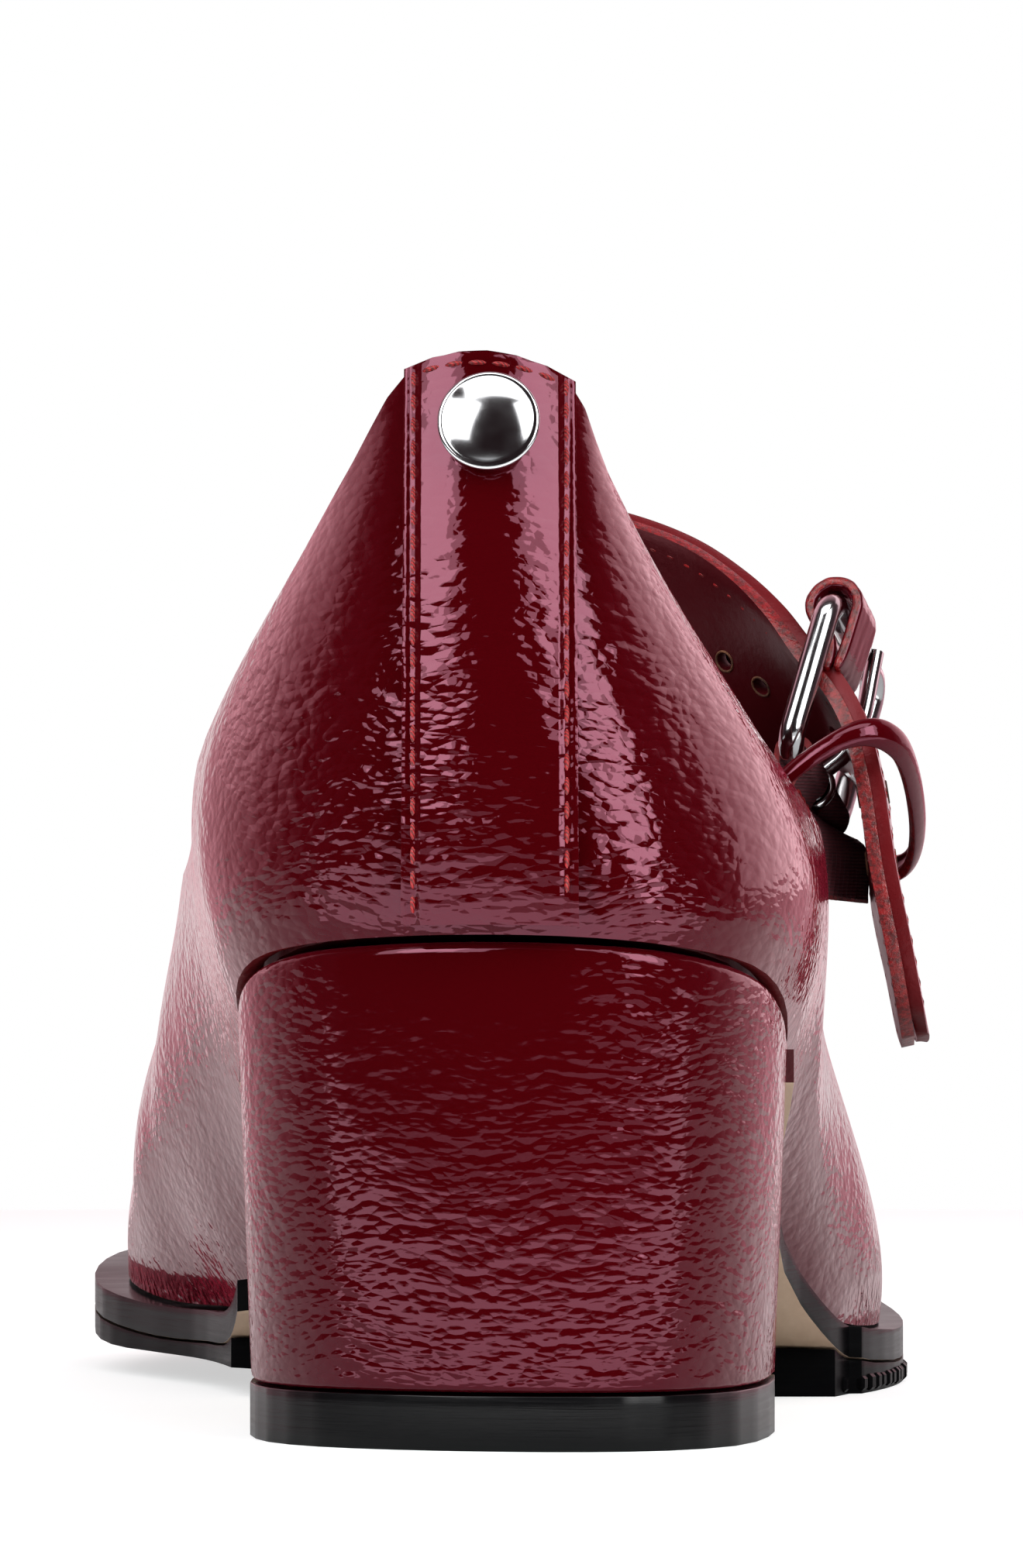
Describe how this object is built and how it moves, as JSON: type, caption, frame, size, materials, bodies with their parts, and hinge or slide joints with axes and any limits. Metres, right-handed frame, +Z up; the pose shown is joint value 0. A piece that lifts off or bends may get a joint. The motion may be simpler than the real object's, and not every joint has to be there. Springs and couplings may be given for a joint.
{
  "type": "mary jane shoe",
  "caption": "Right block-heeled mary jane in crinkled patent leather, with a buckled instep strap, flared ribbed sole and plain dome stud at the back.",
  "frame": {"origin": "middle of the top-lift's flat underside, on the floor that the shoe stands on", "axes": "+X to the outer (lateral) side of the right foot, +Y from the heel to the toe, +Z up"},
  "size_m": [0.0911, 0.2402, 0.1043],
  "materials": {
    "patent": "crinkled burgundy patent, high gloss",
    "lining": "smooth burgundy lining leather, satin",
    "elastic": "ribbed woven elastic tape, matt",
    "rubber": "black, semi-gloss edge",
    "board": "tan sole leather with black painted edge",
    "silver": "polished silver colour plate"
  },
  "bodies": {
    "root": {"upper": "patent", "back_strip": "patent", "back_stud": "silver", "insole": "lining", "midsole": "board", "outsole": "rubber", "heel_block": "patent", "top_lift": "rubber", "strap": "patent", "elastic_tab": "elastic", "keeper": "patent", "buckle_frame": "silver", "buckle_roller": "patent", "buckle_prong": "silver"}
  },
  "joints": []
}
